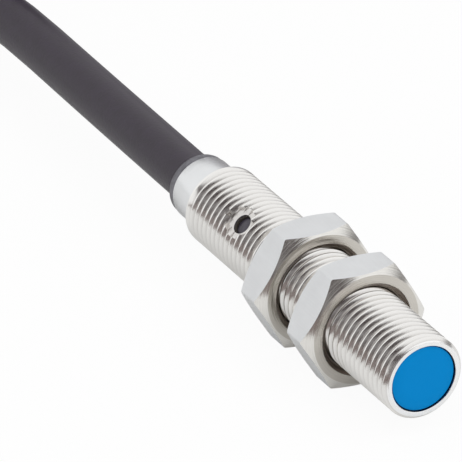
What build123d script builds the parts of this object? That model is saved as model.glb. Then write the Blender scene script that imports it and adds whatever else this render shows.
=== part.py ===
from build123d import *

import os
from math import cos, pi, radians, sin, sqrt, tan

# A miniature inductive proximity sensor: a turned M5 barrel with a flush sensing face, two
# hexagon nuts, an indicator port near the rear, and a cable with three flying leads.
#
# Millimetres, +Z up. The origin is the centre of the sensing face. The barrel's axis is X and
# the sensing face looks along +X. The sensor lies on the lower flats of its two nuts.

# ---- Driving dimensions ------------------------------------------------------------------

THREAD_R = 2.5  # M5 x 0.5, at the crests
THREAD_END = -23.0  # the thread runs from the front rim to here
SHOULDER_R = 2.0
SHOULDER_END = -25.25
BORE_R = 2.03
BORE_END = -22.4  # the wide bore stops inside the last turns of the thread
TAIL_BORE_R = 1.72
RIM_CHAMFER = 0.22

CAP_R = 2.0
CAP_RECESS = 0.1  # the cap sits this far behind the rim
CAP_FRONT_THICK = 0.42
CAP_SKIRT_THICK = 0.16
CAP_DEPTH = 2.5

CORE_R = 1.8
CORE_WALL = 0.36
CORE_POST_R = 0.6
CORE_LENGTH = 1.7
CORE_BASE = 0.45
CORE_SLOT = 0.6
BOBBIN_WALL = 0.1

PORT_X = -17.87
PORT_ANGLE = 134.0  # about X, from +Y towards +Z
PORT_R = 0.6
PORT_FLAT = 2.24  # height of the spot-faced flat over the axis
SPOT_R = 0.88
SPOT_SHIFT = (-0.13, -0.12)  # along the barrel, and round it

BOARD_FRONT, BOARD_REAR = -3.2, -20.2
BOARD_WIDTH = 3.4
BOARD_THICK = 0.35

NUT_FLATS = 7.0
NUT_THICK = 2.5
NUT_FACE_R = 3.38  # the flat clamping ring ends here
NUT_CHAMFER = 30.0
NUT_BORE_R = 2.63
NUT_MOUTH_R = 2.76
NUT_MOUTH_DEEP = 0.2
NUT_FRONTS = {"front_nut": -6.25, "rear_nut": -11.5}  # x of each nut's front face
NUT_THREAD_RADII = (2.53, 2.60)

CABLE_R = 1.525
CABLE_START = -21.9  # the sheath ends here, inside the barrel
CORE_INSULATION_R = 0.42
CORE_STRAND_R = 0.2

SEAL_FRONT = -23.4
SEAL_R = 1.95
SEAL_THICK = 0.6
SEAL_CHAMFER = 0.22

FLOOR = -NUT_FLATS / 2
CABLE_D = 2 * CABLE_R
HANK_COLUMNS, HANK_LAYERS = 3, 5
HANK_PITCH = 3.12  # from one strand to the next, side by side and one on another
FOLD_R = 3 * CABLE_D  # centreline radius of the tightest fold
HANK_LENGTH = 60.0
HANK_NEAR = -66.0
HANK_PINCH = 3.0  # the tie pulls each run this far in at the middle
TIE_WIDTH, TIE_THICK = 4.0, 0.7

SLACK = 0.01  # play between glued and potted pieces

os.makedirs("parts", exist_ok=True)

board_plane = Plane(
    origin=(0, 0, 0),
    x_dir=(1, 0, 0),
    z_dir=(0, cos(radians(PORT_ANGLE)), sin(radians(PORT_ANGLE))),
)


def save(builder, name):
    """Label a finished sub-part and write its STEP file."""
    builder.part.label = name
    export_step(builder.part, f"parts/{name}.step")


# ---- Barrel: one turned tube with a thin front bore, a plain rear shoulder and the port -----

with BuildPart() as barrel:
    with BuildSketch():
        with BuildLine():
            Polyline(
                (0, BORE_R),
                (0, THREAD_R),
                (THREAD_END, THREAD_R),
                (THREAD_END, SHOULDER_R),
                (SHOULDER_END, SHOULDER_R),
                (SHOULDER_END, TAIL_BORE_R),
                (BORE_END, TAIL_BORE_R),
                (BORE_END, BORE_R),
                close=True,
            )
        make_face()
    revolve(axis=Axis.X)
    thread_rims = barrel.edges().filter_by(GeomType.CIRCLE).group_by(SortBy.RADIUS)[-1]
    chamfer(thread_rims, RIM_CHAMFER)
    with BuildSketch(board_plane.offset(PORT_FLAT)):
        with Locations((PORT_X + SPOT_SHIFT[0], SPOT_SHIFT[1])):
            Circle(SPOT_R)
    extrude(amount=THREAD_R, mode=Mode.SUBTRACT)
    with BuildSketch(board_plane):
        with Locations((PORT_X, 0)):
            Circle(PORT_R)
    extrude(amount=THREAD_R, mode=Mode.SUBTRACT)
save(barrel, "barrel")

# ---- Sensing cap: a thin plastic cup, glued into the front of the bore ----------------------

with BuildPart() as sensing_cap:
    with BuildSketch():
        with BuildLine():
            Polyline(
                (-CAP_RECESS, 0),
                (-CAP_RECESS, CAP_R),
                (-CAP_DEPTH, CAP_R),
                (-CAP_DEPTH, CAP_R - CAP_SKIRT_THICK),
                (-CAP_RECESS - CAP_FRONT_THICK, CAP_R - CAP_SKIRT_THICK),
                (-CAP_RECESS - CAP_FRONT_THICK, 0),
                close=True,
            )
        make_face()
    revolve(axis=Axis.X)
    face_edge = sensing_cap.edges().filter_by(GeomType.CIRCLE).sort_by(Axis.X)[-1]
    chamfer(face_edge, 0.05)
save(sensing_cap, "sensing_cap")

# ---- Oscillator head: ferrite pot core, open to the face, with its wound bobbin ------------

core_front = -CAP_RECESS - CAP_FRONT_THICK - 0.02
core_rear = core_front - CORE_LENGTH
groove_floor = core_rear + CORE_BASE
groove_r = CORE_R - CORE_WALL

with BuildPart() as ferrite_core:
    with BuildSketch():
        with BuildLine():
            Polyline(
                (core_front, 0),
                (core_front, CORE_POST_R),
                (groove_floor, CORE_POST_R),
                (groove_floor, groove_r),
                (core_front, groove_r),
                (core_front, CORE_R),
                (core_rear, CORE_R),
                (core_rear, 0),
                close=True,
            )
        make_face()
    revolve(axis=Axis.X)
    chamfer(ferrite_core.edges().filter_by(GeomType.CIRCLE).group_by(Axis.X)[0], 0.08)
    # the slot through which the winding's two leads come out
    with BuildSketch(Plane(origin=(core_rear, 0, 0), x_dir=board_plane.y_dir, z_dir=(1, 0, 0))):
        with Locations((0, groove_r)):
            Rectangle(CORE_SLOT, 2 * (groove_r - CORE_POST_R - 0.1))
    extrude(amount=CORE_LENGTH, mode=Mode.SUBTRACT)
save(ferrite_core, "ferrite_core")

hub_r = CORE_POST_R + SLACK + BOBBIN_WALL
flange_r = groove_r - 0.04
bobbin_front = core_front - 0.03
bobbin_rear = groove_floor + SLACK

with BuildPart() as coil_bobbin:
    with BuildSketch():
        with BuildLine():
            Polyline(
                (bobbin_front, CORE_POST_R + SLACK),
                (bobbin_front, flange_r),
                (bobbin_front - BOBBIN_WALL, flange_r),
                (bobbin_front - BOBBIN_WALL, hub_r),
                (bobbin_rear + BOBBIN_WALL, hub_r),
                (bobbin_rear + BOBBIN_WALL, flange_r),
                (bobbin_rear, flange_r),
                (bobbin_rear, CORE_POST_R + SLACK),
                close=True,
            )
        make_face()
    revolve(axis=Axis.X)
    with BuildSketch(Plane(origin=(bobbin_rear, 0, 0), x_dir=board_plane.y_dir, z_dir=(1, 0, 0))):
        with Locations((0, flange_r)):
            Rectangle(CORE_SLOT, 0.6)
    extrude(amount=BOBBIN_WALL, mode=Mode.SUBTRACT)
save(coil_bobbin, "coil_bobbin")

winding_r = flange_r - 0.08
winding_front = bobbin_front - BOBBIN_WALL - SLACK
winding_rear = bobbin_rear + BOBBIN_WALL + SLACK

with BuildPart() as sensing_coil:
    with BuildSketch():
        with Locations(((winding_front + winding_rear) / 2, (hub_r + SLACK + winding_r) / 2)):
            Rectangle(winding_front - winding_rear, winding_r - hub_r - SLACK)
    revolve(axis=Axis.X)
save(sensing_coil, "sensing_coil")

# two enamelled wires from the winding, through the slot and down to the board's front pads,
# eight-sided because they are so thin
LEAD_R = 0.06
LEAD_HEIGHT = 1.15
LEAD_SPREAD = 0.14
with BuildPart() as coil_leads:
    for side in (-1, 1):
        with BuildLine(board_plane) as lead_path:
            Polyline(
                (winding_rear - SLACK, side * LEAD_SPREAD, LEAD_HEIGHT),
                (core_rear - 0.35, side * LEAD_SPREAD, LEAD_HEIGHT),
                (BOARD_FRONT - 0.25, side * 2 * LEAD_SPREAD, LEAD_R + SLACK),
                (BOARD_FRONT - 0.8, side * 2 * LEAD_SPREAD, LEAD_R + SLACK),
            )
        with BuildSketch(Plane(origin=lead_path.line @ 0, z_dir=lead_path.line % 0)):
            RegularPolygon(LEAD_R, 8)
        sweep(path=lead_path.line, transition=Transition.RIGHT)
save(coil_leads, "coil_leads")

# ---- Circuit board with its components -----------------------------------------------------

with BuildPart() as circuit_board:
    with BuildSketch(board_plane):
        with Locations(((BOARD_FRONT + BOARD_REAR) / 2, 0)):
            RectangleRounded(BOARD_FRONT - BOARD_REAR, BOARD_WIDTH, 0.25)
    extrude(amount=-BOARD_THICK)
save(circuit_board, "circuit_board")


def components(name, size, places, underside=False):
    """A group of like chip components, seated on the board's top or its underside."""
    length, width, height = size
    level = -BOARD_THICK if underside else 0
    with BuildPart() as group:
        with BuildSketch(board_plane.offset(level)):
            with Locations(*places):
                Rectangle(length, width)
        extrude(amount=-height if underside else height)
        outward = board_plane.z_dir if not underside else -board_plane.z_dir
        tops = group.faces().filter_by(lambda face: face.normal_at().dot(outward) > 0.9)
        chamfer(tops.edges(), 0.05)
    save(group, name)
    return group


oscillator_chip = components("oscillator_chip", (2.0, 2.0, 0.6), [(-7.3, 0)])
output_transistor = components("output_transistor", (1.6, 1.2, 0.55), [(-13.9, 0)])
capacitors = components(
    "capacitors", (1.0, 0.5, 0.5), [(-5.1, -0.8), (-5.1, 0.8), (-10.4, -0.7), (-10.4, 0.7)]
)
resistors = components(
    "resistors",
    (1.0, 0.5, 0.3),
    [(-5.5, 0), (-7.5, 0.5), (-7.5, -0.5), (-9.5, 0), (-12.0, 0.5)],
    underside=True,
)
protection_diode = components("protection_diode", (1.6, 0.85, 0.6), [(-15.6, 0)], underside=True)

LED_BODY = (1.0, 0.6, 0.3)
LED_LENS_R, LED_LENS_HEIGHT = 0.24, 0.3
with BuildPart() as led:
    with BuildSketch(board_plane):
        with Locations((PORT_X, 0)):
            Rectangle(LED_BODY[0], LED_BODY[1])
    extrude(amount=LED_BODY[2])
    with BuildSketch(board_plane.offset(LED_BODY[2])):
        with Locations((PORT_X, 0)):
            Circle(LED_LENS_R)
    extrude(amount=LED_LENS_HEIGHT)
    port_axis = Axis(origin=(0, 0, 0), direction=board_plane.z_dir)
    chamfer(led.edges().filter_by(GeomType.CIRCLE).sort_by(port_axis)[-1], LED_LENS_R / 2)
save(led, "led")

# the clear light guide that carries the LED's light into the port
GUIDE_R = PORT_R - 0.03
GUIDE_FOOT, GUIDE_TOP = 0.72, 1.93
with BuildPart() as led_window:
    with BuildSketch(board_plane.offset(GUIDE_FOOT)):
        with Locations((PORT_X, 0)):
            Circle(GUIDE_R)
    extrude(amount=GUIDE_TOP - GUIDE_FOOT)
    chamfer(led_window.edges().filter_by(GeomType.CIRCLE).sort_by(port_axis)[-1], 0.04)
save(led_window, "led_window")

# ---- Conductors inside the barrel, soldered to the board's rear pads -----------------------

PAD_X = -19.5
CORE_ENDS = {  # where each core leaves the sheath, and its pad: (across, height)
    "brown_core": ((-0.5, 0.42), (-0.95, CORE_STRAND_R)),
    "blue_core": ((0.5, 0.42), (0.95, CORE_STRAND_R)),
    "black_core": ((0.0, -0.62), (0.0, -BOARD_THICK - CORE_STRAND_R)),
}
cores = {}
for core_name, (leaves, pad) in CORE_ENDS.items():
    with BuildPart() as core:
        with BuildLine(board_plane) as strand_path:
            Polyline((CABLE_START, *leaves), (CABLE_START + 0.6, *leaves), (PAD_X + 0.4, *pad))
        with BuildSketch(Plane(origin=strand_path.line @ 0, z_dir=strand_path.line % 0)):
            RegularPolygon(CORE_STRAND_R, 8)
        sweep(path=strand_path.line, transition=Transition.RIGHT)
        with BuildSketch(Plane(origin=strand_path.line @ 0, z_dir=strand_path.line % 0)):
            RegularPolygon(CORE_INSULATION_R, 8)
        extrude(amount=0.6)
    cores[core_name] = core
    save(core, core_name)

# a mound of solder over each strand
SOLDER_R, SOLDER_HEIGHT, SOLDER_TAPER = 0.42, 0.45, 25
top_pads = board_plane
under_pad = Plane(
    origin=board_plane.origin - board_plane.z_dir * BOARD_THICK,
    x_dir=board_plane.x_dir,
    z_dir=-board_plane.z_dir,
)
with BuildPart() as solder_joints:
    for pad_plane, across in ((top_pads, -0.95), (top_pads, 0.95), (under_pad, 0)):
        with BuildSketch(pad_plane):
            with Locations((PAD_X, across)):
                RegularPolygon(SOLDER_R, 12)
        extrude(amount=SOLDER_HEIGHT, taper=SOLDER_TAPER)
    for core in cores.values():
        add(core.part, mode=Mode.SUBTRACT)
save(solder_joints, "solder_joints")

# ---- Rear seal: a soft ring between the shoulder and the cable -----------------------------

with BuildPart() as rear_seal:
    with BuildSketch():
        with BuildLine():
            Polyline(
                (SEAL_FRONT, CABLE_R + SLACK),
                (SEAL_FRONT, TAIL_BORE_R - SLACK),
                (SHOULDER_END - SLACK, TAIL_BORE_R - SLACK),
                (SHOULDER_END - SLACK, SEAL_R),
                (SHOULDER_END - SEAL_THICK, SEAL_R),
                (SHOULDER_END - SEAL_THICK, CABLE_R + SLACK),
                close=True,
            )
        make_face()
    revolve(axis=Axis.X)
    lip = rear_seal.edges().filter_by(GeomType.CIRCLE).group_by(Axis.X)[0].sort_by(SortBy.RADIUS)[-1]
    chamfer(lip, SEAL_CHAMFER)
save(rear_seal, "rear_seal")

# ---- Potting: the resin that fills everything behind the sensing head ----------------------

POTTING_FRONT = -CAP_DEPTH - 0.05
with BuildPart() as potting:
    with BuildSketch():
        with BuildLine():
            Polyline(
                (POTTING_FRONT, 0),
                (POTTING_FRONT, BORE_R - SLACK),
                (BORE_END + SLACK, BORE_R - SLACK),
                (BORE_END + SLACK, TAIL_BORE_R - SLACK),
                (SEAL_FRONT + SLACK, TAIL_BORE_R - SLACK),
                (SEAL_FRONT + SLACK, CABLE_R + SLACK),
                (CABLE_START + SLACK, CABLE_R + SLACK),
                (CABLE_START + SLACK, 0),
                close=True,
            )
        make_face()
    revolve(axis=Axis.X)
    # the clear column under the light guide
    with BuildSketch(board_plane):
        with Locations((PORT_X, 0)):
            Circle(GUIDE_R)
    extrude(amount=THREAD_R, mode=Mode.SUBTRACT)
    for embedded in (
        coil_leads,
        circuit_board,
        oscillator_chip,
        output_transistor,
        capacitors,
        resistors,
        protection_diode,
        led,
        solder_joints,
        *cores.values(),
    ):
        add(embedded.part, mode=Mode.SUBTRACT)
save(potting, "potting")

# ---- Nuts: chamfered hexagons on the barrel, each with the thread that carries it ----------

chamfer_deep = (NUT_FLATS / 2 / cos(pi / 6) - NUT_FACE_R) * tan(radians(NUT_CHAMFER))
corner_r = NUT_FACE_R + chamfer_deep / tan(radians(NUT_CHAMFER))

for nut_name, nut_front in NUT_FRONTS.items():
    nut_back = nut_front - NUT_THICK
    with BuildPart() as nut:
        with BuildSketch(Plane.YZ.offset(nut_front)):
            RegularPolygon(NUT_FLATS / 2, 6, major_radius=False)
        extrude(amount=-NUT_THICK)
        with BuildSketch():
            with BuildLine():
                Polyline(
                    (nut_front, NUT_MOUTH_R),
                    (nut_front, NUT_FACE_R),
                    (nut_front - chamfer_deep, corner_r),
                    (nut_back + chamfer_deep, corner_r),
                    (nut_back, NUT_FACE_R),
                    (nut_back, NUT_MOUTH_R),
                    (nut_back + NUT_MOUTH_DEEP, NUT_BORE_R),
                    (nut_front - NUT_MOUTH_DEEP, NUT_BORE_R),
                    close=True,
                )
            make_face()
        revolve(axis=Axis.X, mode=Mode.INTERSECT)
    save(nut, nut_name)

    inner_r, outer_r = NUT_THREAD_RADII
    with BuildPart() as nut_thread:
        with BuildSketch():
            with Locations(((nut_front + nut_back) / 2, (inner_r + outer_r) / 2)):
                Rectangle(NUT_THICK - 2 * NUT_MOUTH_DEEP, outer_r - inner_r)
        revolve(axis=Axis.X)
    save(nut_thread, nut_name + "_thread")

# ---- Cable: straight out of the seal, then down to the surface and into its hank -----------

lying = FLOOR + CABLE_R  # height of a cable's centre when it lies on the surface
cable_route = [
    (CABLE_START, 0, 0),
    (-36.5, 0, 0.02),
    (-53.5, 0, 0.17),
    (-65.0, -2.0, -1.0),
    (-77.5, -6.0, lying),
]


# the hank's outermost turn takes the cable up where its route ends
outer_turn_r = FOLD_R + (HANK_COLUMNS - 1) * HANK_PITCH
hank_width = 2 * (outer_turn_r + CABLE_R)
hank_height = (HANK_LAYERS - 1) * HANK_PITCH + CABLE_D
hank_x = HANK_NEAR - HANK_LENGTH / 2
near_end_x = HANK_NEAR - hank_width / 2
entry_x, entry_y, _ = cable_route[-1]
hank_y = entry_y + sqrt(outer_turn_r**2 - (entry_x - near_end_x) ** 2)


def bend_radii(route):
    """The largest arc that each corner's two runs allow."""
    corners = [Vector(*point) for point in route]
    radii = []
    for before, corner, after in zip(corners, corners[1:], corners[2:]):
        turn = (corner - before).get_angle(after - corner)
        run = min((corner - before).length, (after - corner).length)
        radii.append(0.45 * run / tan(radians(turn) / 2))
    return radii


cable_radii = bend_radii(cable_route)
print("cable bend radii:", [round(radius, 1) for radius in cable_radii])

with BuildPart() as cable:
    with BuildLine() as cable_path:
        FilletPolyline(*cable_route, radius=cable_radii)
    with BuildSketch(Plane(origin=cable_path.line @ 0, z_dir=cable_path.line % 0)):
        Circle(CABLE_R)
    sweep(path=cable_path.line)
tube_length = sum(edge.length for edge in cable_path.edges())
print("cable tube: length", round(tube_length, 1))
print("its volume over section x length:", cable.part.volume / (pi * CABLE_R**2 * tube_length))
save(cable, "cable")

# the put-away length: three turns side by side, five deep, pulled in at the middle by a tie
END_LENGTH = 20.0
end_height = FLOOR + hank_height + CABLE_R
end_y = hank_y - 8.5
end_x = hank_x - 9.0  # the sheath is cut back here
waist = hank_width / 2 - HANK_PINCH
tie_outline = [
    (hank_y - waist, FLOOR + TIE_THICK),
    (hank_y + waist, FLOOR + TIE_THICK),
    (hank_y + waist, FLOOR + hank_height),
    (end_y + CABLE_R, FLOOR + hank_height + CABLE_D),
    (end_y - CABLE_R, FLOOR + hank_height + CABLE_D),
    (hank_y - waist, FLOOR + hank_height),
]

with BuildPart() as hank_tie:
    with BuildSketch(Plane.YZ.offset(hank_x + TIE_WIDTH / 2)):
        with BuildLine():
            Polyline(*tie_outline, close=True)
        make_face()
        offset(amount=TIE_THICK, kind=Kind.ARC)
        with BuildLine(mode=Mode.PRIVATE) as inside:
            Polyline(*tie_outline, close=True)
        make_face(inside.edges(), mode=Mode.SUBTRACT)
    extrude(amount=-TIE_WIDTH)
save(hank_tie, "hank_tie")

straight = HANK_LENGTH - hank_width
waist_arc_r = ((straight / 2) ** 2 + HANK_PINCH**2) / (2 * HANK_PINCH)
with BuildPart() as cable_hank:
    with BuildSketch(Plane.XY.offset(FLOOR)) as hank_outline:
        with Locations((hank_x, hank_y)):
            SlotOverall(HANK_LENGTH, hank_width)
        with Locations(
            (hank_x, hank_y + waist + waist_arc_r), (hank_x, hank_y - waist - waist_arc_r)
        ):
            Circle(waist_arc_r, mode=Mode.SUBTRACT)
        fillet(hank_outline.vertices(), FOLD_R)
    extrude(amount=hank_height)
    add(hank_tie.part, mode=Mode.SUBTRACT)
    add(cable.part, mode=Mode.SUBTRACT)
save(cable_hank, "cable_hank")

with BuildPart() as cable_end:
    with BuildSketch(Plane.YZ.offset(end_x)):
        with Locations((end_y, end_height)):
            Circle(CABLE_R)
    extrude(amount=END_LENGTH)
save(cable_end, "cable_end")

# ---- Flying leads: brown, blue and black, with tinned tips ---------------------------------

LEAD_INSULATION_R = 0.48
TIP_R, TIP_LENGTH = 0.26, 4.0
tip_height = FLOOR + hank_height + 0.4
LEADS = {  # where each leaves the sheath (across, up), its tip's swing to the side and its reach
    "brown_lead": ((0.6, 0.35), 7.0, 19.2),
    "blue_lead": ((-0.6, 0.35), -2.2, 18.2),
    "black_lead": ((0.0, -0.65), 2.4, 20.0),
}
lead_tips = []
for lead_name, ((across, up), swing, reach) in LEADS.items():
    lead_start = Vector(end_x + 0.3, end_y + across, end_height + up)
    lead_along = Vector(end_x - reach, end_y + swing, tip_height) - lead_start
    insulation_length = lead_along.length - TIP_LENGTH
    with BuildPart() as lead:
        with BuildSketch(Plane(origin=lead_start, z_dir=lead_along)):
            Circle(LEAD_INSULATION_R)
        extrude(amount=insulation_length)
        add(cable_end.part, mode=Mode.SUBTRACT)
    insulation_end = lead_start + lead_along.normalized() * insulation_length
    lead_tips.append(Plane(origin=insulation_end, z_dir=lead_along))
    save(lead, lead_name)

with BuildPart() as tinned_tips:
    for tip_plane in lead_tips:
        with BuildSketch(tip_plane):
            RegularPolygon(TIP_R, 8)
        extrude(amount=TIP_LENGTH)
save(tinned_tips, "tinned_tips")
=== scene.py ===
"""A miniature inductive proximity sensor with two nuts and its cable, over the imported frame."""

import math

import bmesh
import bpy
from mathutils import Matrix, Vector


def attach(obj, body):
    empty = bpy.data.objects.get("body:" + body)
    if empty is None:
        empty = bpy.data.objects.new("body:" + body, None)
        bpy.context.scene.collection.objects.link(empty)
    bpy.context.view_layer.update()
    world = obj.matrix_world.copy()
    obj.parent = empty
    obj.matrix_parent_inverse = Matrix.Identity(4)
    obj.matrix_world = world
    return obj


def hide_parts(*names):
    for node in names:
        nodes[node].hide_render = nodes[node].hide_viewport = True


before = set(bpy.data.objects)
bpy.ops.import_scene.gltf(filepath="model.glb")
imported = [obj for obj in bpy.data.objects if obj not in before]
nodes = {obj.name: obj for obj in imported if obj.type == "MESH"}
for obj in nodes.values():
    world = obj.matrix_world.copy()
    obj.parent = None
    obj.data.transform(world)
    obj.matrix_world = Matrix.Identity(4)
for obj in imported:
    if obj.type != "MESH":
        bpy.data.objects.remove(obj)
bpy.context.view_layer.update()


# ---- Barrel: a brass tube, turned, threaded M5 x 0.5 and plated. ---------------------------
# The thread is cut from the front rim to the plain shoulder at the rear. Both of its ends are
# chamfered, and its first and last turns run out into them. The inside is bored in two steps.

MM = 0.001
PITCH = 0.5
CREST_R = 2.5
THREAD_START, THREAD_END = -0.12, -23.0
RIM_PLAIN, RIM_RUN_OUT, RIM_CHAMFER = 0.24, 0.3, 0.22
REAR_PLAIN, REAR_RUN_OUT = 0.3, 0.45
SHOULDER_R, SHOULDER_END = 2.0, -25.25
BORE_R, BORE_END, TAIL_BORE_R = 2.03, -22.4, 1.72
AXIS = dict(cent=(0, 0, 0), axis=(1, 0, 0))
TURN_STEPS = 96
THREAD_SHARP = 24  # degrees, past which an edge of the thread shows as sharp

# one pitch of the thread, from root to root: (along, depth under the crest)
THREAD_FORM = (
    (-0.25, 0.300),
    (-0.212, 0.288),
    (-0.055, 0.020),
    (-0.030, 0.000),
    (0.030, 0.000),
    (0.055, 0.020),
    (0.212, 0.288),
    (0.25, 0.300),
)


def profile_line(bm, profile):
    """A few vertices joined in a row, in the plane through the axis: (along, radius)."""
    points = [bm.verts.new((x, 0, r)) for x, r in profile]
    return points + [bm.edges.new(pair) for pair in zip(points, points[1:])]


def turned(profile):
    """The solid that a profile sweeps when it is spun round the barrel's axis."""
    bm = bmesh.new()
    line = profile_line(bm, profile)
    bmesh.ops.spin(bm, geom=line, **AXIS, angle=math.tau, steps=TURN_STEPS, use_merge=True)
    bmesh.ops.remove_doubles(bm, verts=bm.verts, dist=1e-4)
    bmesh.ops.recalc_face_normals(bm, faces=bm.faces)
    return bm


def mesh_object(name, bm, sharp=30):
    """A bmesh in millimetres becomes an object in metres."""
    bmesh.ops.remove_doubles(bm, verts=bm.verts, dist=1e-4)
    bmesh.ops.recalc_face_normals(bm, faces=bm.faces)
    bmesh.ops.scale(bm, vec=(MM, MM, MM), verts=bm.verts)
    mesh = bpy.data.meshes.new(name)
    bm.to_mesh(mesh)
    bm.free()
    mesh.shade_smooth()
    mesh.set_sharp_from_angle(angle=math.radians(sharp))
    made = bpy.data.objects.new(name, mesh)
    bpy.context.scene.collection.objects.link(made)
    return made


def boolean(target, tool, operation, sharp):
    """Cuts or keeps what a tool shape covers, and removes the tool."""
    step = target.modifiers.new(operation, "BOOLEAN")
    step.operation, step.solver, step.object = operation, "EXACT", tool
    depsgraph = bpy.context.evaluated_depsgraph_get()
    cut = bpy.data.meshes.new_from_object(target.evaluated_get(depsgraph))
    target.modifiers.clear()
    old, target.data = target.data, cut
    cut.name = target.name
    bpy.data.meshes.remove(old)
    bpy.data.objects.remove(tool)
    cut.shade_smooth()
    cut.set_sharp_from_angle(angle=math.radians(sharp))


def place(piece, body, slot, *replaced):
    """The piece rides on a body and stands for CAD nodes, which it hides. Its slot is not used."""
    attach(piece, body)
    if replaced:
        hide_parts(*replaced)
    return piece


def smooth(t):
    """Eases from 0 to 1 while t does."""
    t = min(max(t, 0.0), 1.0)
    return t * t * (3 - 2 * t)


def ring_to(bm, ring, x, r):
    """Extrudes a closed ring of edges to a new place along the barrel and a new radius."""
    made = bmesh.ops.extrude_edge_only(bm, edges=ring)["geom"]
    corners = {g for g in made if isinstance(g, bmesh.types.BMVert)}
    for v in corners:
        v.co = Vector((x, 0, 0)) + Vector((0, v.co.y, v.co.z)).normalized() * r
    return [g for g in made if isinstance(g, bmesh.types.BMEdge) and corners.issuperset(g.verts)]


# the whole row of crests is spun once while it moves back by one pitch, so its end meets its start
bm = bmesh.new()
crests = [
    (PITCH * (1 - turn) + THREAD_START - x, CREST_R - deep)
    for turn in range(round(-THREAD_END / PITCH) + 3)
    for x, deep in THREAD_FORM[:-1]
]
bmesh.ops.spin(
    bm,
    geom=profile_line(bm, crests),
    **AXIS,
    dvec=(-PITCH / TURN_STEPS, 0, 0),
    angle=math.tau,
    steps=TURN_STEPS,
)
bmesh.ops.remove_doubles(bm, verts=bm.verts, dist=1e-3)

# both ends are plain for a little way, and the thread deepens from there
for x, inwards in ((-RIM_PLAIN, 1), (THREAD_END + REAR_PLAIN, -1)):
    bmesh.ops.bisect_plane(
        bm,
        geom=bm.verts[:] + bm.edges[:] + bm.faces[:],
        plane_co=(x, 0, 0),
        plane_no=(inwards, 0, 0),
        clear_outer=True,
    )
for v in bm.verts:
    x, r = v.co.x, math.hypot(v.co.y, v.co.z)
    depth = CREST_R - r
    depth *= smooth((-x - RIM_PLAIN) / RIM_RUN_OUT)
    depth *= smooth((x - THREAD_END - REAR_PLAIN) / REAR_RUN_OUT)
    v.co.y *= (CREST_R - depth) / r
    v.co.z *= (CREST_R - depth) / r
open_edges = [e for e in bm.edges if e.is_boundary]
front_ring = [e for e in open_edges if e.verts[0].co.x > THREAD_END / 2]
rear_ring = [e for e in open_edges if e.verts[0].co.x < THREAD_END / 2]

# round the rim, through the bore, and back along the shoulder
for x, r in (
    (-RIM_CHAMFER, CREST_R - 0.006),
    (-0.03, CREST_R - 0.19),
    (-0.004, CREST_R - 0.225),
    (0.0, CREST_R - 0.25),
    (0.0, BORE_R + 0.02),
    (-0.02, BORE_R),
    (BORE_END, BORE_R),
    (BORE_END, TAIL_BORE_R),
    (SHOULDER_END, TAIL_BORE_R),
    (SHOULDER_END, SHOULDER_R - 0.05),
    (SHOULDER_END + 0.015, SHOULDER_R - 0.015),
    (SHOULDER_END + 0.05, SHOULDER_R),
    (THREAD_END - 0.04, SHOULDER_R),
    (THREAD_END, SHOULDER_R + 0.04),
    (THREAD_END, CREST_R - RIM_CHAMFER),
    (THREAD_END + RIM_CHAMFER, CREST_R - 0.004),
):
    front_ring = ring_to(bm, front_ring, x, r)
bmesh.ops.bridge_loops(bm, edges=front_ring + rear_ring)
barrel = mesh_object("threaded_barrel", bm, sharp=THREAD_SHARP)
place(barrel, "root", "barrel_metal", "barrel")


# ---- Indicator port: a round flat milled across the thread, with a small hole in it. -------
# The cutter leaves the crests notched round the flat. A short nick beside it marks the side
# that the port is on.

PORT_X, PORT_R, PORT_DRILLED = -17.87, 0.61, 1.0
SPOT_X, SPOT_R, SPOT_HEIGHT = -17.98, 1.0, 2.15
NICK_X, NICK_R, NICK_HEIGHT = -19.2, 0.19, 2.08
TOOL_TOP = 3.0  # clear of the thread's crests

# x along the barrel, y round it, z out through the port, which is 134 degrees round
port_frame = Matrix.Rotation(math.radians(134.0 - 90), 4, "X")

for name, x, low, r, segments in (
    ("mill", SPOT_X, SPOT_HEIGHT, SPOT_R, 64),
    ("drill", PORT_X, PORT_DRILLED, PORT_R, 64),
    ("nick", NICK_X, NICK_HEIGHT, NICK_R, 24),
):
    bm = bmesh.new()
    bmesh.ops.create_cone(
        bm,
        cap_ends=True,
        segments=segments,
        radius1=r,
        radius2=r,
        depth=TOOL_TOP - low,
        matrix=port_frame @ Matrix.Translation((x, 0, (low + TOOL_TOP) / 2)),
    )
    boolean(barrel, mesh_object(name, bm), "DIFFERENCE", sharp=THREAD_SHARP)


# ---- Metal finishes: bright plating, turned along the barrel. ------------------------------
# The turned faces carry fine rings from the tool, the flats of the nuts fine lines from the
# drawn bar. The plating is bright and a little warm; painted shade darkens the thread's roots and
# the nuts' tapped bores, and a painted dark reflection browns the nuts' clamping rings.


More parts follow.
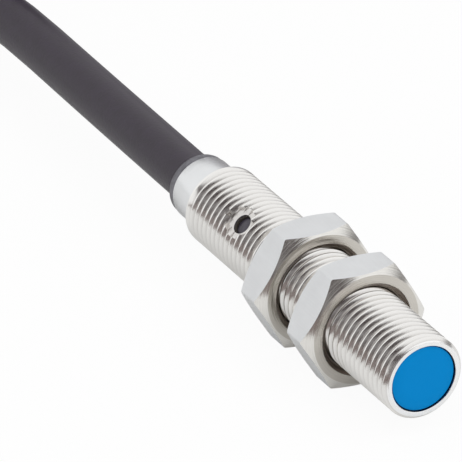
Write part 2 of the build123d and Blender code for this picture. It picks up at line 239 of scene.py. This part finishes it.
class Wire:
    """One socket of a material. Sums and products on it add Math nodes."""

    def __init__(self, socket):
        self.socket, self.tree = socket, socket.id_data

    def node(self, kind, settings=None, sockets=None, out=0):
        """A new node: its type, its settings, then the values or wires of its sockets."""
        made = self.tree.nodes.new("ShaderNode" + kind)
        for key, value in (settings or {}).items():
            setattr(made, key, value)
        for key, value in (sockets or {}).items():
            if isinstance(value, Wire):
                self.tree.links.new(value.socket, made.inputs[key])
            else:
                made.inputs[key].default_value = value
        return Wire(made.outputs[out])

    def maths(self, operation, *others):
        return self.node("Math", {"operation": operation}, dict(enumerate((self, *others))))

    def __add__(self, other):
        return self.maths("ADD", other)

    def __sub__(self, other):
        return self.maths("SUBTRACT", other)

    def __rsub__(self, other):
        return self.node("Math", {"operation": "SUBTRACT"}, {0: other, 1: self})

    def __mul__(self, other):
        return self.maths("MULTIPLY", other)

    __radd__, __rmul__ = __add__, __mul__

    def ramp(self, low, high):
        """0 below low, 1 above high, smooth between."""
        return self.node(
            "MapRange",
            {"interpolation_type": "SMOOTHSTEP"},
            {"Value": self, "From Min": low, "From Max": high},
        )

    def blend(self, dark, light):
        """A colour between two, by this value."""
        dark, light = (c if isinstance(c, Wire) else (*c, 1) for c in (dark, light))
        return self.node(
            "Mix", {"data_type": "RGBA", "clamp_factor": True}, {0: self, 6: dark, 7: light}, out=2
        )

    def stretched(self, x, y, z):
        """This place, with each direction scaled."""
        return self.node("VectorMath", {"operation": "MULTIPLY"}, {0: self, 1: (x, y, z)})

    def noise(self, scale, detail=3.0, rough=0.5):
        """Noise on this place: scale in marks per millimetre."""
        sockets = {"Vector": self, "Scale": scale, "Detail": detail, "Roughness": rough}
        return self.node("TexNoise", sockets=sockets)


def finish(name):
    """A new material, and the place on the object in millimetres."""
    made = bpy.data.materials.new(name)
    made.use_nodes = True
    surface = Wire(made.node_tree.nodes["Principled BSDF"].outputs[0])
    where = surface.node("TexCoord", out="Object")
    return made, where.stretched(1 / MM, 1 / MM, 1 / MM)


def shade(material, colour, rough, metal=0.0, bump=None, depth=0.01, **fixed):
    """Sets a material's surface: its colour, roughness and bump may vary over the surface."""
    shader = material.node_tree.nodes["Principled BSDF"]
    links = material.node_tree.links

    def put(key, value):
        if isinstance(value, Wire):
            links.new(value.socket, shader.inputs[key])
        elif key == "Base Color":
            shader.inputs[key].default_value = (*value, 1)
        else:
            shader.inputs[key].default_value = value

    put("Base Color", colour)
    put("Roughness", rough)
    put("Metallic", metal)
    for key, value in fixed.items():
        put(key.replace("_", " "), value)
    if bump is not None:
        normal = bump.node(
            "Bump", sockets={"Height": bump, "Strength": 1.0, "Distance": depth * MM}
        )
        links.new(normal.socket, shader.inputs["Normal"])
    return material


def parts_of(where):
    """x, y and z of a place as wires."""
    return [where.node("SeparateXYZ", sockets={0: where}, out=i) for i in range(3)]


def radius_of(where):
    """The distance from the barrel's axis."""
    x, y, z = parts_of(where)
    return (y * y + z * z).maths("SQRT")


def rings(value, per_mm):
    """Marks that follow one number, such as the tool's rings along a turned face."""
    return value.node(
        "TexNoise", {"noise_dimensions": "1D"}, {"W": value, "Scale": per_mm, "Detail": 3.0}
    )


def dress(piece, *materials):
    """Gives a piece its materials, in place of what it had."""
    piece.data.materials.clear()
    for material in materials:
        piece.data.materials.append(material)


def turned_metal(name, colour, dull, deep):
    """A plated face with the tool's rings round the barrel's axis."""
    made, where = finish(name)
    marks = rings(radius_of(where), 14.0)
    blotch = where.noise(0.9, 3.0)
    tint = (marks * 0.6 + blotch * 0.4).ramp(0.3, 0.7)
    return shade(
        made,
        tint.blend([c * 0.9 for c in colour], colour),
        dull + (marks - 0.5) * 0.16 + (blotch - 0.5) * 0.12,
        1.0,
        bump=marks,
        depth=deep,
    )


barrel_plating, where = finish("barrel_plating")
along = parts_of(where)[0]
crest = radius_of(where).ramp(CREST_R - 0.24, CREST_R - 0.03)
plain = along.maths("LESS_THAN", THREAD_END + 0.1)
rim = along.maths("GREATER_THAN", -0.06)
blotch = where.noise(0.9, 3.0)
marks = rings(along, 14.0)
# painted shade: the thread's roots are coloured darker than its crests, as the shade in its grooves;
# the blotches are random tone
thread_blotch_and_root_shade = (crest * 0.8 + blotch * 0.2).blend((0.66, 0.64, 0.62), (0.865, 0.855, 0.835))
shoulder_tint = (blotch * 0.5 + marks * 0.5).ramp(0.3, 0.7)
shade(
    barrel_plating,
    plain.blend(
        rim.blend(thread_blotch_and_root_shade, (0.94, 0.94, 0.935)),
        shoulder_tint.blend((0.75, 0.76, 0.77), (0.79, 0.8, 0.81)),
    ),
    (1 - crest) * 0.04 + (marks - 0.5) * plain * 0.12 + (blotch - 0.5) * 0.08 + 0.18,
    1.0,
    bump=marks * plain,
    depth=0.004,
)
dress(barrel, barrel_plating)


# ---- Sensing cap: a blue plastic cup, glued into the front of the barrel. ------------------
# Its flat front is the sensing face. It sits a hair behind the rim, with a moulded edge coloured
# dark round it, partly a fine joint and partly painted shade. The cup's skirt holds the pot core.

CAP_R, CAP_RECESS, CAP_FRONT, CAP_SKIRT, CAP_DEPTH = 2.0, 0.1, 0.42, 0.16, 2.5
cap = mesh_object(
    "cap_cup",
    turned(
        [
            (-CAP_RECESS, 0.0),
            (-CAP_RECESS, 1.2),
            (-CAP_RECESS, CAP_R - 0.09),
            (-CAP_RECESS - 0.015, CAP_R - 0.04),
            (-CAP_RECESS - 0.05, CAP_R - 0.01),
            (-CAP_RECESS - 0.1, CAP_R),
            (-CAP_DEPTH, CAP_R),
            (-CAP_DEPTH, CAP_R - CAP_SKIRT),
            (-CAP_RECESS - CAP_FRONT, CAP_R - CAP_SKIRT),
            (-CAP_RECESS - CAP_FRONT, 0.0),
        ]
    ),
)
place(cap, "root", "face_blue", "sensing_cap")
blue_plastic, where = finish("blue_plastic")
# joint and painted shade: the cap's rounded edge is coloured dark navy where it meets the bore
dark_edge_joint_and_shade = radius_of(where).ramp(CAP_R - 0.075, CAP_R - 0.02)
grain = where.noise(9.0, 4.0)
shade(
    blue_plastic,
    dark_edge_joint_and_shade.blend((0.0, 0.235, 0.6), (0.004, 0.02, 0.1)),
    0.5 + (grain - 0.5) * 0.12,
    bump=grain,
    depth=0.003,
    Specular_IOR_Level=0.05,
)
dress(cap, blue_plastic)


# ---- Nuts: two hexagon nuts from drawn bar, chamfered on both sides and tapped. ------------
# The flats keep the bar's lengthwise lines. The clamping rings and the chamfers are turned,
# and the bores carry the female thread, which ends in a countersunk mouth.

NUT_FLATS, NUT_THICK, NUT_FACE_R, NUT_CORNER = 7.0, 2.5, 3.38, 0.09
NUT_BORE_R, NUT_MOUTH_R, NUT_MOUTH_DEEP = 2.63, 2.87, 0.26
TAPPED_CREST_R, TAPPED_ROOT_R, TAPPED_BACK_R = 2.53, 2.6, 2.615
NUT_SLOPE = math.tan(math.radians(35))  # of the chamfers
LATHE_R = 4.6  # clear of the corners
RING_CROWN = ((2.9, 0.0), (3.08, 0.008), (3.23, 0.03), (NUT_FACE_R, 0.07))  # radius, how low
NUT_FRONTS = {"front_nut": -6.25, "rear_nut": -11.5}


def nut_blank(front):
    """The hexagon bar's length, corners softened."""
    bm = bmesh.new()
    bmesh.ops.create_cone(
        bm,
        cap_ends=True,
        segments=6,
        radius1=NUT_FLATS / math.sqrt(3),
        radius2=NUT_FLATS / math.sqrt(3),
        depth=NUT_THICK,
        matrix=Matrix.Translation((front - NUT_THICK / 2, 0, 0))
        @ Matrix.Rotation(math.radians(90), 4, "Y"),
    )
    corners = [e for e in bm.edges if abs(e.verts[0].co.x - e.verts[1].co.x) > NUT_THICK / 2]
    bmesh.ops.bevel(
        bm, geom=corners, offset=NUT_CORNER, affect="EDGES", segments=3, profile=0.5, material=-1
    )
    return bm


def nut_turning(front):
    """What the lathe leaves: two rings, two chamfer cones, and the bore with its mouths."""
    middle, top = front - NUT_THICK / 2, NUT_THICK / 2
    half = [
        (0.0, LATHE_R),
        (top - RING_CROWN[-1][1] - (LATHE_R - NUT_FACE_R) * NUT_SLOPE, LATHE_R),
        *((top - low, r) for r, low in reversed(RING_CROWN)),
        (top - 0.015, NUT_MOUTH_R),
        (top - NUT_MOUTH_DEEP, NUT_BORE_R),
    ]
    return turned([(middle + x, r) for x, r in half] + [(middle - x, r) for x, r in reversed(half)])


def drawn_metal(name, colour, dull):
    """A plated flat with the drawn bar's lengthwise lines."""
    made, where = finish(name)
    lines = where.stretched(0.35, 9.0, 9.0).noise(1.6, 5.0, 0.65)
    blotch = where.noise(0.7, 3.0)
    return shade(
        made,
        (lines * 0.5 + blotch * 0.5).ramp(0.3, 0.7).blend([c * 0.93 for c in colour], colour),
        dull + (lines - 0.5) * 0.12,
        1.0,
        bump=lines,
        depth=0.003,
    )


NUT_FINISHES = (
    # painted dark reflection: the clamping rings' plating is coloured darker and browner than the
    # chamfers'
    turned_metal("nut_ring_painted_reflection_metal", (0.66, 0.63, 0.58), 0.22, 0.008),
    drawn_metal("nut_flat_metal", (0.73, 0.74, 0.75), 0.36),
    # painted shade: the tapped bores' plating is coloured dark brown, as the shade inside the nut
    turned_metal("nut_tapped_painted_shade_metal", (0.40, 0.34, 0.29), 0.36, 0.004),
    turned_metal("nut_chamfer_metal", (0.86, 0.845, 0.81), 0.19, 0.006),
)
RING, FLAT, TAPPED, CHAMFER = range(len(NUT_FINISHES))


def finish_of(face):
    """Which of the finishes a nut's face has, by what cut it."""
    far, along = math.hypot(face.center.y, face.center.z) / MM, abs(face.normal.x)
    if far < NUT_MOUTH_R - 0.01:
        return TAPPED
    if far > NUT_FACE_R - 0.2 and along < 0.1:
        return FLAT
    return CHAMFER if along < 0.9 else RING


for name, front in NUT_FRONTS.items():
    nut = mesh_object(name + "_hexagon", nut_blank(front))
    boolean(nut, mesh_object("lathe", nut_turning(front)), "INTERSECT", sharp=18)
    dress(nut, *NUT_FINISHES)
    for face in nut.data.polygons:
        face.material_index = finish_of(face)
    place(nut, name, "nut_metal", name)

    # the tapped thread's crests, which stop short of the mouths
    tapped, teeth = [], round((NUT_THICK - 2 * NUT_MOUTH_DEEP) / PITCH * 2)
    for tooth in range(teeth + 1):
        x = front - NUT_MOUTH_DEEP - tooth * PITCH / 2
        tapped.append((x, TAPPED_CREST_R if tooth % 2 else TAPPED_ROOT_R))
    (start, _), (end, _) = tapped[0], tapped[-1]
    back = [(end, TAPPED_BACK_R), (start, TAPPED_BACK_R)]
    thread = mesh_object(name + "_tapping", turned(back[1:] + tapped + back))
    place(thread, name + "_carrier", "nut_metal", name + "_thread")
    dress(thread, NUT_FINISHES[TAPPED])


# ---- Indicator window: a smoky light guide, pushed into the port over the lamp. ------------
# Its end is a shallow dome that sits below the milled flat.

WINDOW_R, WINDOW_TOP, WINDOW_BASE = 0.57, 1.93, 1.2
bm = bmesh.new()
dome = [(0.0, 0.05), (0.2, 0.045), (0.38, 0.03), (0.5, 0.005), (WINDOW_R, -0.05)]
line = [bm.verts.new((r, 0, WINDOW_TOP - 0.03 + up)) for r, up in dome]
line += [bm.verts.new((WINDOW_R, 0, WINDOW_BASE)), bm.verts.new((0, 0, WINDOW_BASE))]
edges = [bm.edges.new(pair) for pair in zip(line, line[1:])]
bmesh.ops.spin(
    bm, geom=line + edges, cent=(0, 0, 0), axis=(0, 0, 1), angle=math.tau, steps=48, use_merge=True
)
bmesh.ops.transform(bm, matrix=port_frame @ Matrix.Translation((PORT_X, 0, 0)), verts=bm.verts)
window = mesh_object("indicator_window", bm, sharp=50)
place(window, "root", "light_guide", "led_window")
smoky, where = finish("smoky_window")
cloud = where.noise(3.0, 3.0)
shade(
    smoky,
    cloud.ramp(0.3, 0.7).blend((0.028, 0.024, 0.036), (0.048, 0.042, 0.058)),
    0.3,
    bump=cloud,
    depth=0.006,
    Coat_Weight=0.15,
)
dress(window, smoky)


# ---- Rear seal: a soft dark ring, squeezed out between the shoulder and the cable. ---------
# It is moulded onto the cable, so its edges are round and a little uneven.

SEAL_FRONT, SEAL_THICK, SEAL_R, CABLE_R = -23.4, 0.6, 1.95, 1.525
seal = mesh_object(
    "moulded_seal",
    turned(
        [
            (SEAL_FRONT, CABLE_R + 0.005),
            (SEAL_FRONT, TAIL_BORE_R - 0.01),
            (SHOULDER_END - 0.005, TAIL_BORE_R - 0.01),
            (SHOULDER_END - 0.005, SEAL_R - 0.06),
            (SHOULDER_END - 0.03, SEAL_R - 0.01),
            (SHOULDER_END - 0.1, SEAL_R),
            (SHOULDER_END - 0.42, SEAL_R),
            (SHOULDER_END - 0.52, SEAL_R - 0.03),
            (SHOULDER_END - 0.58, SEAL_R - 0.1),
            (SHOULDER_END - SEAL_THICK, SEAL_R - 0.2),
            (SHOULDER_END - SEAL_THICK, CABLE_R + 0.005),
            (SEAL_FRONT, CABLE_R + 0.005),
        ]
    ),
    sharp=60,
)
place(seal, "root", "seal_rubber", "rear_seal")
soft_rubber, where = finish("soft_rubber")
mottle = where.noise(2.5, 4.0)
shade(
    soft_rubber,
    mottle.ramp(0.3, 0.7).blend((0.07, 0.068, 0.08), (0.14, 0.137, 0.155)),
    0.38 + (mottle - 0.5) * 0.2,
    bump=mottle,
    depth=0.02,
)
dress(seal, soft_rubber)


# ---- Cable: two metres of round sheathed cable, moulded into the sensor's rear. ------------
# It runs straight out of the seal, down to the surface and round a flat hank of five layers,
# three turns in each. Its last stretch lies on top of the hank, under the tie.

FLOOR = -NUT_FLATS / 2
CABLE_ROUTE = (
    (-21.9, 0, 0),
    (-36.5, 0, 0.07),
    (-53.5, 0, 0.36),
    (-65.0, -2.2, -1.2),
    (-76.5, -6.3, -1.975),
)
HANK_PITCH, HANK_COLUMNS, HANK_LAYERS = 3.12, 3, 5
FOLD_R, HANK_PINCH, TIE_THICK = 9.7, 3.4, 0.5
NEAR_END_X, FAR_END_X, HANK_Y = -82.9, -109.1, 8.406
HANK_X = (NEAR_END_X + FAR_END_X) / 2
POINTS_PER_TURN = 24
RUN_SHARE = 0.46  # of each half turn, the rest of which is a fold
LAYER_REACH = (0.6, 1.7, 0.0, 1.3, 0.7, 0.7)  # how much further out each layer's far folds are
END_X, END_Y, END_HEIGHT = -105.0, -0.094, 13.555

# the column of each strand, counted from the inside, and its layer
strands = [
    (column, layer)
    for layer in range(HANK_LAYERS)
    for column in (range(HANK_COLUMNS) if layer % 2 else reversed(range(HANK_COLUMNS)))
] + [(0.2, HANK_LAYERS)]


def hank_point(turn):
    """Where the cable lies in the hank after so many turns."""
    whole, part = divmod(turn, 1.0)
    # each strand changes its column or layer on the second run of its turn
    changed = smooth((part - 0.5) / (RUN_SHARE / 2))
    (c0, l0), (c1, l1) = strands[int(whole)], strands[int(whole) + 1]
    column, layer = c0 + (c1 - c0) * changed, l0 + (l1 - l0) * changed
    r = FOLD_R + column * HANK_PITCH
    z = FLOOR + CABLE_R + layer * HANK_PITCH
    second, along = divmod(part * 2, 1.0)
    reach = LAYER_REACH[round(layer)]
    if along < RUN_SHARE:  # a straight run, drawn in at its middle, where it lies on the tie
        along /= RUN_SHARE
        drawn = (1 - math.cos(math.tau * along)) / 2
        outwards = 1 - along if second else along
        far_x = FAR_END_X - reach * outwards
        x = NEAR_END_X + (far_x - NEAR_END_X) * outwards
        y = r - drawn * HANK_PINCH
        return Vector((x, HANK_Y + (y if second else -y), z + drawn * TIE_THICK))
    swing = math.pi * (along - RUN_SHARE) / (1 - RUN_SHARE)
    x, y = math.sin(swing) * r, math.cos(swing) * r
    if second:
        return Vector((NEAR_END_X + x, HANK_Y + y, z))
    return Vector((FAR_END_X - reach - x, HANK_Y - y, z))


def cord_curve(name, points, radius):
    """A round cord along one smooth line, in millimetres."""
    data = bpy.data.curves.new(name, "CURVE")
    data.dimensions = "3D"
    spline = data.splines.new("NURBS")
    spline.points.add(len(points) - 1)
    for point, at in zip(spline.points, points):
        point.co = (*(Vector(at) * MM), 1)
        point.radius = radius * MM
    spline.order_u = 3
    spline.use_endpoint_u = True
    spline.resolution_u = 5
    data.bevel_depth = 1.0  # times each point's own radius
    data.bevel_resolution = 6
    data.use_fill_caps = True
    made = bpy.data.objects.new(name, data)
    bpy.context.scene.collection.objects.link(made)
    return made


points = [Vector(at) for at in CABLE_ROUTE]
points += [hank_point(i / POINTS_PER_TURN) for i in range((len(strands) - 1) * POINTS_PER_TURN)]
points += [  # the last stretch, which rises at the waist as the turns under it do
    Vector((NEAR_END_X - 0.5, END_Y - 2.1, END_HEIGHT)),
    Vector((HANK_X + 7.5, END_Y - 1.2, END_HEIGHT + TIE_THICK * 0.6)),
    Vector((HANK_X - 1, END_Y, END_HEIGHT + TIE_THICK)),
    Vector((END_X, END_Y, END_HEIGHT + TIE_THICK * 0.4)),
]
cable = cord_curve("sheathed_cable", points, CABLE_R)
place(cable, "root", "sheath", "cable", "cable_hank", "cable_end")
sheath, where = finish("cable_sheath")
skin = where.noise(1.6, 4.0)
shade(
    sheath,
    skin.ramp(0.25, 0.75).blend((0.0135, 0.0075, 0.0165), (0.0195, 0.012, 0.0245)),
    0.36 + (skin - 0.5) * 0.15,
    bump=where.noise(6.0, 4.0),
    depth=0.01,
    Specular_IOR_Level=0.5,
)
dress(cable, sheath)


# ---- Flying leads: brown, blue and black cores, bared at the cable's far end. --------------
# Each has its own plastic insulation, and its last millimetres are stripped and tinned.

LEAD_R, TIP_R, TIP_LENGTH = 0.48, 0.26, 4.0
TIP_HEIGHT = FLOOR + (HANK_LAYERS - 1) * HANK_PITCH + 2 * CABLE_R + 0.4

# where each leaves the sheath's end, how far its own end swings out and reaches, and its colour
LEADS = {
    "brown_lead": ((0.6, 0.35), 7.0, 19.2, (0.13, 0.045, 0.018)),
    "blue_lead": ((-0.6, 0.35), -2.2, 18.2, (0.012, 0.09, 0.36)),
    "black_lead": ((0.0, -0.65), 2.4, 20.0, (0.018, 0.018, 0.02)),
}


def coloured_plastic(name, colour, rough=0.4):
    """Smooth plastic of one colour, faintly uneven."""
    made, where = finish(name)
    grain = where.noise(4.0, 3.0)
    return shade(
        made,
        grain.ramp(0.2, 0.8).blend([c * 0.85 for c in colour], [min(c * 1.12, 1) for c in colour]),
        rough + (grain - 0.5) * 0.14,
        bump=grain,
        depth=0.005,
    )


tinned, where = finish("tinned_strands")
twist = where.stretched(2, 9, 9).noise(2.0, 3.0)
shade(
    tinned,
    twist.ramp(0.3, 0.7).blend((0.5, 0.5, 0.49), (0.72, 0.72, 0.71)),
    0.34,
    1.0,
    bump=twist,
    depth=0.02,
)
for name, ((across, above), swing, reach, colour) in LEADS.items():
    insulation = coloured_plastic(name.replace("lead", "insulation"), colour)
    dress(nodes[name.replace("lead", "core")], insulation)
    start = Vector((END_X + 0.3, END_Y + across, END_HEIGHT + above))
    end = Vector((END_X - reach, END_Y + swing, TIP_HEIGHT))
    rise = start.lerp(end, 0.35) + Vector((0, -swing * 0.2, 0.5))
    fall = start.lerp(end, 0.65) + Vector((0, -swing * 0.1, 0.35))
    stripped = end + (fall - end).normalized() * TIP_LENGTH
    line = [start, start - Vector((2.5, 0, 0)), rise, fall, stripped]
    lead = cord_curve(name + "_insulation", line, LEAD_R)
    dress(lead, insulation)
    place(lead, "root", name.replace("lead", "insulation"), name)
    line = [stripped.lerp(fall, 0.1), stripped.lerp(end, 0.5), end]
    bared = cord_curve(name + "_strands", line, TIP_R)
    dress(bared, tinned)
    place(bared, "root", "solder", "tinned_tips")


# ---- Hank tie: a soft plastic ribbon round the waist of the hank. --------------------------
# It is pulled tight over both runs and the cable's end, and its end laps over its start.

TIE_WIDTH, TIE_EDGE, TIE_GAP = 4.0, 0.15, 0.02
TIE_STARTS, TIE_LAPS = 0.3, (0.05, 0.2, 0.3, 0.4, 0.6, 0.75)  # shares of the top span
CORNER_STEPS = 8

# the strands at the ribbon's corners, the way round that it goes: (y, z)
waist = FOLD_R + (HANK_COLUMNS - 1) * HANK_PITCH - HANK_PINCH
low = FLOOR + CABLE_R + TIE_THICK
high = low + (HANK_LAYERS - 1) * HANK_PITCH
held = [
    Vector((HANK_Y + waist, high)),
    Vector((HANK_Y + waist, low)),
    Vector((HANK_Y - waist, low)),
    Vector((HANK_Y - waist, high)),
    Vector((END_Y, END_HEIGHT + TIE_THICK)),
]
wrap = []  # points on those strands' skins, and the direction away from the hank there
for before, at, after in zip(held[-1:] + held, held, held[1:] + held[:1]):
    into, out = (math.atan2(d.y, d.x) + math.pi / 2 for d in (at - before, after - at))
    out -= math.tau * round((out - into) / math.tau)
    for step in range(CORNER_STEPS + 1):
        angle = into + (out - into) * step / CORNER_STEPS
        away = Vector((math.cos(angle), math.sin(angle)))
        wrap.append((at + away * CABLE_R, away))

# the ribbon starts on the top span, goes round, and lifts over its own start
(first, upwards), (last, _) = wrap[0], wrap[-1]
ribbon = [(last.lerp(first, TIE_STARTS), upwards, 0.0)]
ribbon += [(at, away, 0.0) for at, away in wrap]
for share in TIE_LAPS:
    lift = smooth(share / TIE_STARTS) * (TIE_THICK + 0.03)
    ribbon.append((last.lerp(first, share), upwards, lift))

half = TIE_WIDTH / 2
section = [
    (-half, TIE_EDGE),
    (-half, TIE_THICK - TIE_EDGE),
    (-half + TIE_EDGE, TIE_THICK),
    (half - TIE_EDGE, TIE_THICK),
    (half, TIE_THICK - TIE_EDGE),
    (half, TIE_EDGE),
    (half - TIE_EDGE, 0.0),
    (-half + TIE_EDGE, 0.0),
]
bm = bmesh.new()
hoops = []
for at, away, lift in ribbon:
    ring = [
        bm.verts.new((HANK_X + across, *(at + away * (TIE_GAP + lift + out))))
        for across, out in section
    ]
    hoops.append([bm.edges.new(pair) for pair in zip(ring, ring[1:] + ring[:1])])
for hoop, following in zip(hoops, hoops[1:]):
    bmesh.ops.bridge_loops(bm, edges=hoop + following)
bmesh.ops.edgeloop_fill(bm, edges=hoops[0] + hoops[-1])
tie = mesh_object("hank_ribbon", bm, sharp=50)
dress(tie, coloured_plastic("tie_plastic", (0.022, 0.022, 0.024), 0.38))
place(tie, "root", "tie_plastic", "hank_tie")


# ---- Inside the barrel: the oscillator head, the board and what holds them. ----------------
# The pot core and its winding sit in the cap. The board behind them carries the chips, and
# resin fills what is left.


def speckled(name, colour, rough, marks, metal=0.0):
    """A grainy finish, such as ferrite, laminate or resin has."""
    made, where = finish(name)
    grain = where.noise(marks, 5.0, 0.6)
    return shade(
        made,
        grain.ramp(0.3, 0.7).blend([c * 0.75 for c in colour], colour),
        rough + (grain - 0.5) * 0.2,
        metal,
        bump=grain,
        depth=0.008,
    )


for material, *names in (
    (speckled("ferrite", (0.05, 0.05, 0.055), 0.55, 14.0), "ferrite_core"),
    (speckled("bobbin_plastic", (0.75, 0.72, 0.62), 0.5, 6.0), "coil_bobbin"),
    (speckled("enamelled_copper", (0.55, 0.2, 0.07), 0.3, 20.0, 0.9), "sensing_coil", "coil_leads"),
    (speckled("board_laminate", (0.015, 0.12, 0.05), 0.45, 10.0), "circuit_board"),
    (
        speckled("moulded_chip", (0.02, 0.02, 0.021), 0.5, 20.0),
        "oscillator_chip",
        "output_transistor",
        "protection_diode",
    ),
    (speckled("ceramic_tan", (0.45, 0.3, 0.16), 0.45, 12.0), "capacitors"),
    (speckled("ceramic_dark", (0.06, 0.06, 0.07), 0.4, 12.0), "resistors"),
    (speckled("lamp_body", (0.7, 0.68, 0.55), 0.35, 8.0), "led"),
    (speckled("solder", (0.62, 0.62, 0.6), 0.3, 8.0, 1.0), "solder_joints"),
    (speckled("potting_resin", (0.07, 0.06, 0.05), 0.4, 4.0), "potting"),
):
    for name in names:
        dress(nodes[name], material)


# ---- Studio: a white floor and room, soft lamps, and cards that only the metal shows. ------
# Bright metal shows what is round it: here the white room, with grey cards in front and behind
# and lying on the floor. They hide themselves from the camera and cast no shadow.


def ray_kinds(wire):
    """Whether a ray comes from the camera, a mirror or something clear."""
    return [
        wire.node("LightPath", out=f"Is {kind} Ray") for kind in ("Camera", "Glossy", "Transmission")
    ]


def surface_is(material, shader):
    """Puts a shader at a material's output."""
    tree = material.node_tree
    tree.links.new(shader.socket, tree.nodes["Material Output"].inputs["Surface"])


bm = bmesh.new()
bmesh.ops.create_grid(bm, x_segments=1, y_segments=1, size=1500)
bmesh.ops.translate(bm, vec=(0, 0, FLOOR), verts=bm.verts)
floor = mesh_object("floor", bm)
paper = bpy.data.materials.new("white_paper")
paper.use_nodes = True
shade(paper, (0.775, 0.775, 0.77), 0.9)
matt = Wire(paper.node_tree.nodes["Principled BSDF"].outputs[0])
seen, mirrored, through = ray_kinds(matt)
share = seen * 0.94 + mirrored * 0.12 + through * 0.12
glow = matt.node("Emission")
surface_is(paper, matt.node("MixShader", sockets={0: share, 1: matt, 2: glow}))
dress(floor, paper)

world = bpy.data.worlds.new("studio")
world.use_nodes = True
bpy.context.scene.world = world
room = world.node_tree.nodes["Background"]
room.inputs["Color"].default_value = (1, 1, 1, 1)
strength = Wire(room.inputs["Strength"])
seen, mirrored, through = ray_kinds(strength)
white = seen.maths("MAXIMUM", mirrored).maths("MAXIMUM", through)
world.node_tree.links.new((white * 0.3 + 0.7).socket, strength.socket)

LAMP_DISTANCE, LAMP_SIZE = 0.9, 0.8  # metres
for name, azimuth, elevation, power in (
    ("key_softbox", 35, 50, 3.2),
    ("side_softbox", -100, 55, 2.2),
):
    data = bpy.data.lights.new(name, "AREA")
    data.shape, data.size, data.energy = "SQUARE", LAMP_SIZE, power
    softbox = bpy.data.objects.new(name, data)
    a, e = math.radians(azimuth), math.radians(elevation)
    towards = Vector((math.cos(a) * math.cos(e), math.sin(a) * math.cos(e), math.sin(e)))
    softbox.location = Vector((-0.01, 0, 0)) + towards * LAMP_DISTANCE
    softbox.rotation_euler = towards.to_track_quat("Z", "Y").to_euler()
    softbox.visible_glossy = False  # the metal shows the white room and the cards instead
    bpy.context.scene.collection.objects.link(softbox)


def reflected_only(made, grey, glow=None):
    """Paints a card in a grey that may fade to the room's white, and shows it to metal alone."""
    paint, where = finish(made.name + "_paint")
    colour = glow(*parts_of(where)).blend(grey, (1.0, 1.0, 1.0)) if glow else (*grey, 1)
    surface_is(paint, where.node("Emission", sockets={"Color": colour}))
    dress(made, paint)
    made.visible_camera = made.visible_diffuse = made.visible_shadow = False


def front_glow(x, y, z):
    """White towards +Y, and a little paler low down and in a band above that."""
    aside = (y - x * 0.05).ramp(-130, 95) * (1 - z.ramp(108, 150))
    return aside + (1 - z.ramp(60, 130)) * 0.1 + z.ramp(40, 80) * (1 - z.ramp(105, 150)) * 0.16


CARD_DISTANCE = 280.0  # millimetres from the sensor's middle

# name: grey, azimuth from +X, width, foot, top, and how its glow varies
STANDING_CARDS = {
    "front_card": ((0.06, 0.045, 0.045), -18, 380, FLOOR, 240, front_glow),
    "right_card": ((0.26, 0.25, 0.245), 64, 300, FLOOR, 115, lambda x, y, z: z.ramp(25, 112)),
    "back_card": ((0.46, 0.45, 0.47), 140, 280, FLOOR, 130, lambda x, y, z: z.ramp(5, 128)),
    "side_card": ((0.5, 0.49, 0.5), -100, 300, 70, 330, None),
}
for name, (grey, azimuth, width, foot, top, glow) in STANDING_CARDS.items():
    bm = bmesh.new()
    bmesh.ops.create_grid(
        bm,
        x_segments=1,
        y_segments=1,
        size=0.5,
        matrix=Matrix.Rotation(math.radians(azimuth), 4, "Z")
        @ Matrix.Translation((CARD_DISTANCE, 0, (foot + top) / 2))
        @ Matrix.Diagonal((1, width, top - foot, 1))
        @ Matrix.Rotation(math.radians(90), 4, "Y"),
    )
    reflected_only(mesh_object(name, bm), grey, glow)

# name: grey, and its corners on the floor
LYING_CARDS = {
    "floor_card": (
        (0.24, 0.20, 0.19),
        ((-8, -10.5), (8, -10.5), (1.5, -2.8), (270, 110), (270, -220), (-8, -220)),
    ),
    "back_floor_card": ((0.42, 0.41, 0.42), ((-13, 7.5), (-45, 45), (-250, 250), (-250, 7.5))),
}
for name, (grey, corners) in LYING_CARDS.items():
    bm = bmesh.new()
    bm.faces.new([bm.verts.new((x, y, FLOOR + 0.05)) for x, y in corners])
    reflected_only(mesh_object(name, bm), grey)

CAMERA_AT, CAMERA_LENS = Vector((264.81, -160.05, 179.41)), 505.5
VIEW_AZIMUTH, VIEW_ELEVATION, VIEW_ROLL = 60.826, 28.817, 0.168
az, el, roll = (math.radians(a) for a in (VIEW_AZIMUTH, VIEW_ELEVATION, VIEW_ROLL))
back = Vector((math.sin(az) * math.cos(el), -math.cos(az) * math.cos(el), math.sin(el)))
level = Vector((math.cos(az), math.sin(az), 0))
above = back.cross(level)
right = math.cos(roll) * level + math.sin(roll) * above
up = math.cos(roll) * above - math.sin(roll) * level
camera_data = bpy.data.cameras.new("camera")
camera_data.sensor_width, camera_data.lens = 36.0, CAMERA_LENS
camera_data.clip_start, camera_data.clip_end = 0.01, 10.0
camera = bpy.data.objects.new("camera", camera_data)
bpy.context.scene.collection.objects.link(camera)
turned_round = Matrix((right, up, back)).transposed().to_4x4()
camera.matrix_world = Matrix.Translation(CAMERA_AT * MM) @ turned_round
bpy.context.scene.camera = camera
bpy.context.scene.view_settings.view_transform = "Standard"

bpy.context.view_layer.update()
